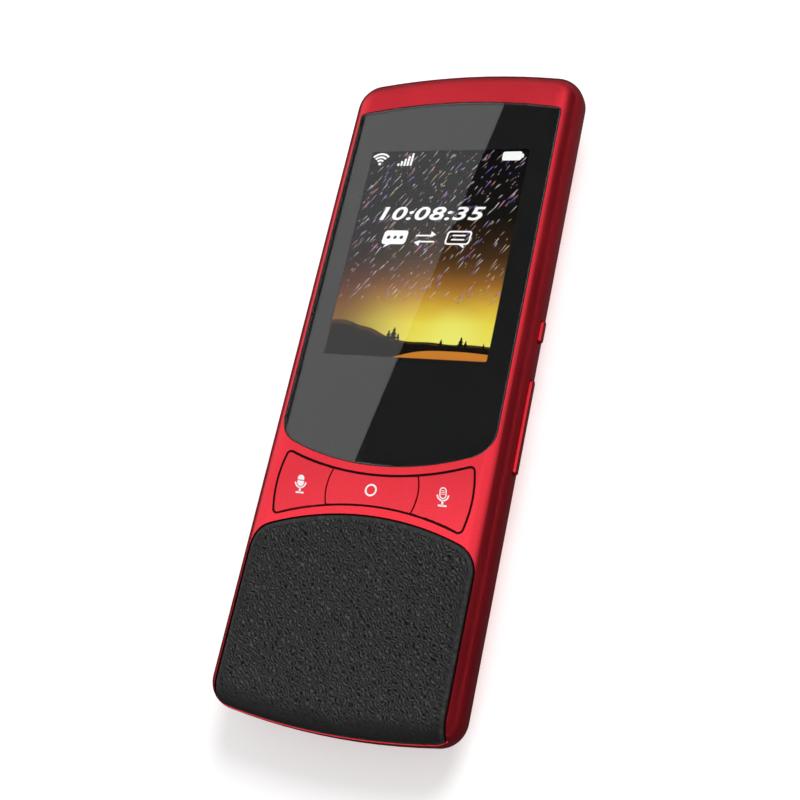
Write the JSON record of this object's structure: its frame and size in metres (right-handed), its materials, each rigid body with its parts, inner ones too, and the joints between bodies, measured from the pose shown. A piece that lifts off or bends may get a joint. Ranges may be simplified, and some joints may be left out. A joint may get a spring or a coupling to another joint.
{
  "type": "handheld translator",
  "caption": "Bar-shaped handheld voice translator with a touch display, a bow-tie row of press keys, side keys, a leather grip pad and a pull-out card tray.",
  "frame": {"origin": "middle of the flat back, on its face", "axes": "+X to the device's right, +Y towards its top end, +Z out of its screen"},
  "size_m": [0.0539, 0.1455, 0.0102],
  "materials": {
    "shell_red": "bead-blasted, red anodised",
    "key_red": "bead-blasted, red anodised",
    "cover_glass": "polished",
    "film_black": "printed gloss black",
    "display": "polished polariser",
    "backlight": "white moulded",
    "flex_amber": "polyimide film",
    "alloy": "die cast",
    "board_green": "solder mask",
    "silicone": "moulded",
    "leather": "pebbled, matt",
    "plastic_black": "moulded",
    "steel": "stamped and turned",
    "tin": "tin plated",
    "cell": "laminated foil",
    "tape": "adhesive strip",
    "antenna": "printed track",
    "card": "plain"
  },
  "bodies": {
    "housing": {"front_housing": "shell_red", "rear_cover": "shell_red", "cover_glass": "cover_glass", "bezel_film": "film_black", "display_panel": "display", "backlight_unit": "backlight", "display_flex": "flex_amber", "side_flex": "flex_amber", "battery_connector": "flex_amber", "mid_frame": "alloy", "key_board": "board_green", "main_board": "board_green", "usb_board": "board_green", "key_mat": "silicone", "speaker_gasket": "silicone", "leather_pad": "leather", "pad_carrier": "plastic_black", "speaker": "plastic_black", "board_chips": "plastic_black", "card_reader": "plastic_black", "rocker_pin": "steel", "side_bracket": "steel", "usb_socket": "steel", "case_screws": "steel", "frame_screws": "steel", "board_screws": "steel", "speaker_mesh": "steel", "key_switches": "tin", "side_switches": "tin", "processor_shield": "tin", "radio_shield": "tin", "lower_microphone": "tin", "upper_microphone": "tin", "battery": "cell", "battery_tape": "tape", "antenna": "antenna"},
    "key_left": {"key_left": "key_red"},
    "key_centre": {"key_centre": "key_red"},
    "key_right": {"key_right": "key_red"},
    "power_button": {"power_button": "key_red"},
    "volume_rocker": {"volume_rocker": "key_red"},
    "card_tray": {"card_tray": "shell_red", "sim_card": "card"}
  },
  "joints": [
    {"name": "key_left_press", "type": "slide", "parent": "housing", "child": "key_left", "axis": [0, 0, -1], "range_m": [0, 0.00035], "stiffness_N_per_m": 2000},
    {"name": "key_centre_press", "type": "slide", "parent": "housing", "child": "key_centre", "axis": [0, 0, -1], "range_m": [0, 0.00035], "stiffness_N_per_m": 2000},
    {"name": "key_right_press", "type": "slide", "parent": "housing", "child": "key_right", "axis": [0, 0, -1], "range_m": [0, 0.00035], "stiffness_N_per_m": 2000},
    {"name": "power_button_press", "type": "slide", "parent": "housing", "child": "power_button", "axis": [-1, 0, 0], "range_m": [0, 0.00035], "stiffness_N_per_m": 2000},
    {"name": "volume_rocker_tilt", "type": "hinge", "parent": "housing", "child": "volume_rocker", "pos_m": [0.02325, -0.0084, 0.00515], "axis": [0, 0, 1], "range_deg": [-1.8, 1.8], "stiffness_Nm_per_rad": 0.08},
    {"name": "card_tray_slide", "type": "slide", "parent": "housing", "child": "card_tray", "axis": [-1, 0, 0], "range_m": [0, 0.014]}
  ]
}
